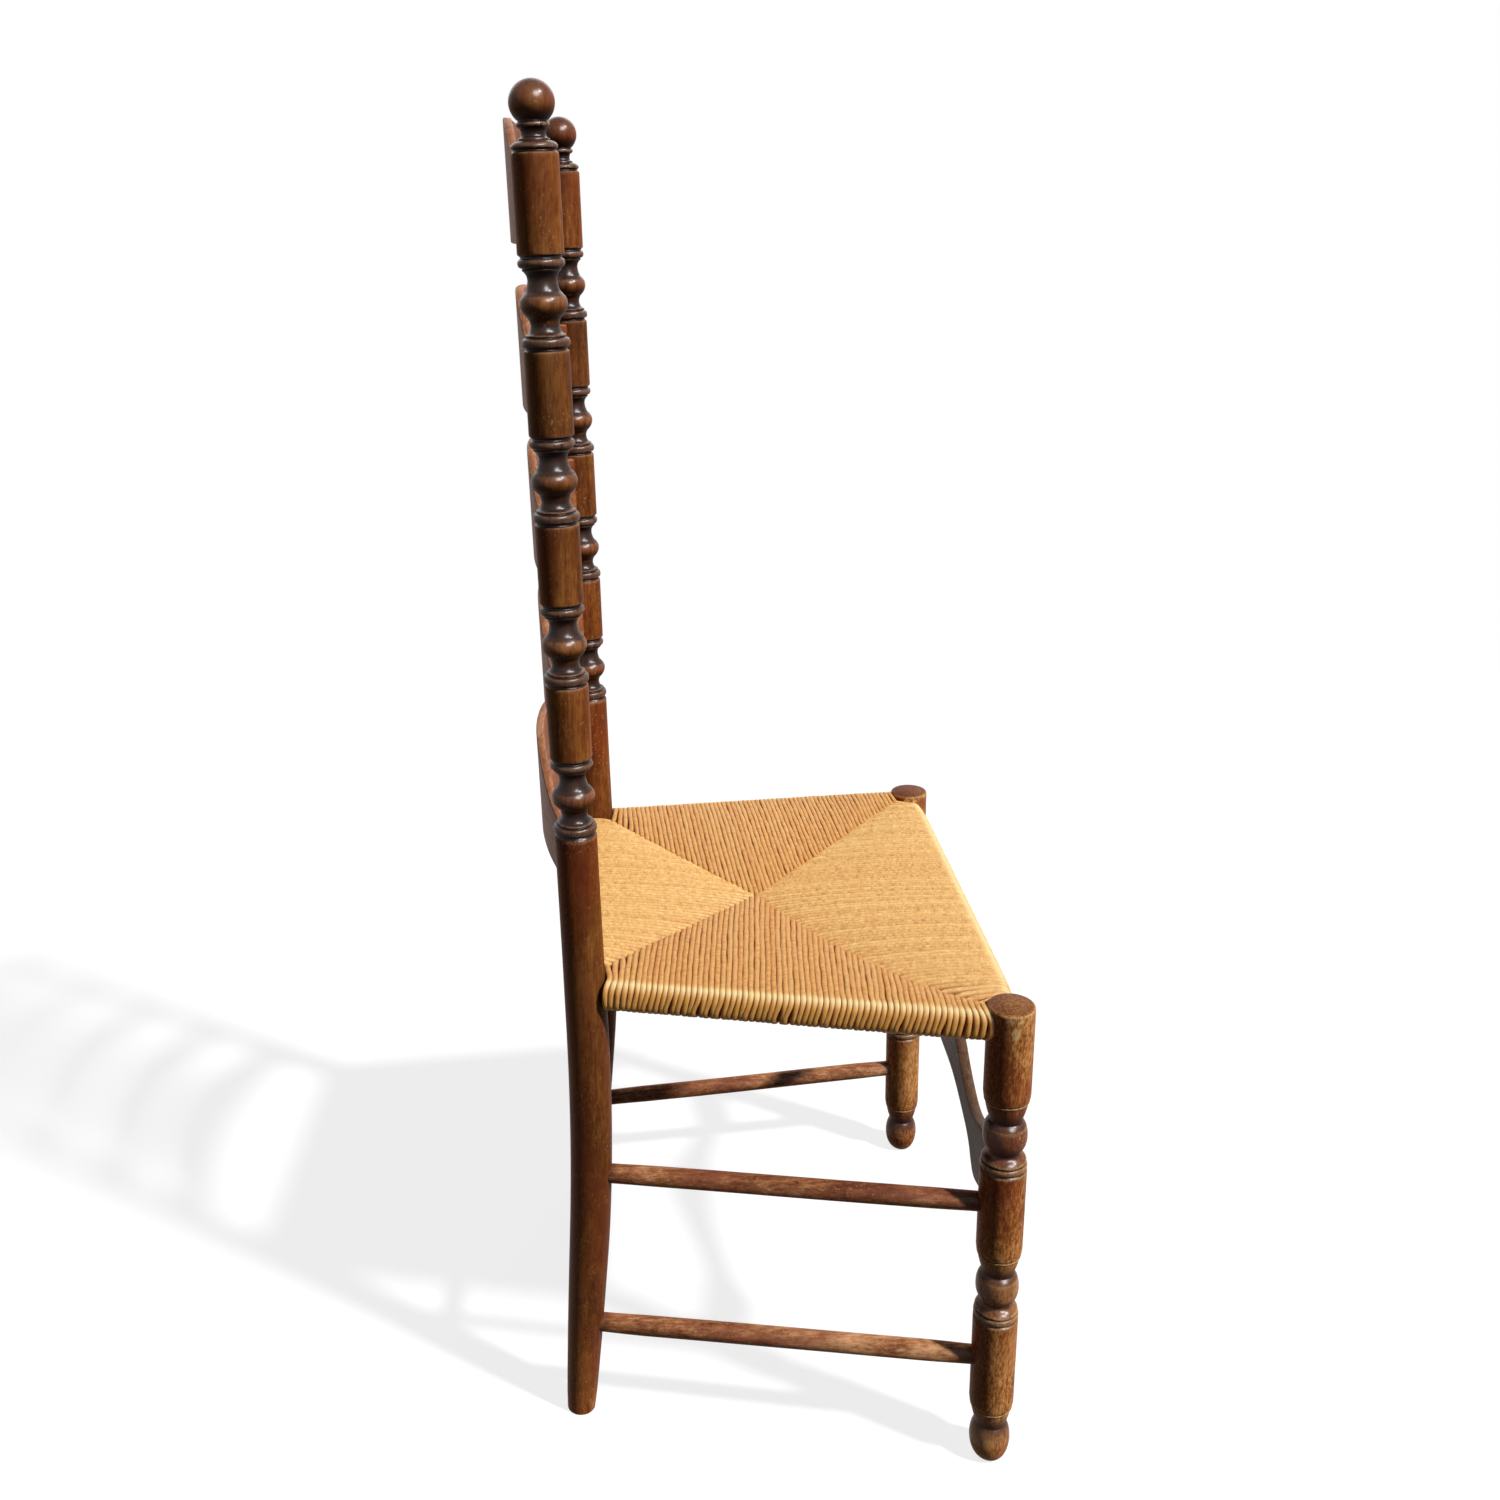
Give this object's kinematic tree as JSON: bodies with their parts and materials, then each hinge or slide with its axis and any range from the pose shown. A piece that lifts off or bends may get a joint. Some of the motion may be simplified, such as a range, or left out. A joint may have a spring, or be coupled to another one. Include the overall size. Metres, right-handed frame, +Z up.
{
  "type": "ladder back chair",
  "caption": "High-backed dining chair with turned posts, bowed back slats, turned front legs and a woven rush seat.",
  "frame": {"origin": "on the floor, under the middle of the chair's outer box", "axes": "+Z up, -Y the way the sitter faces, +X to the sitter's left"},
  "size_m": [0.513, 0.4674, 1.1745],
  "materials": {
    "dark_wood": "dark reddish brown stain under worn satin polish",
    "stretcher_wood": "thinner, duller stain with the grain showing",
    "rail_wood": "bare, unfinished wood inside the seat",
    "rush": "golden straw-coloured twisted rush, matt"
  },
  "bodies": {
    "root": {"rear_post_left": "dark_wood", "rear_post_right": "dark_wood", "front_leg_left": "dark_wood", "front_leg_right": "dark_wood", "slat_1": "dark_wood", "slat_2": "dark_wood", "slat_3": "dark_wood", "slat_4": "dark_wood", "slat_5": "dark_wood", "front_stretcher_board": "dark_wood", "side_stretcher_upper_left": "stretcher_wood", "side_stretcher_upper_right": "stretcher_wood", "side_stretcher_lower_left": "stretcher_wood", "side_stretcher_lower_right": "stretcher_wood", "rear_stretcher": "stretcher_wood", "seat_rail_left": "rail_wood", "seat_rail_right": "rail_wood", "seat_rail_front": "rail_wood", "seat_rail_rear": "rail_wood", "rush_seat": "rush"}
  },
  "joints": []
}
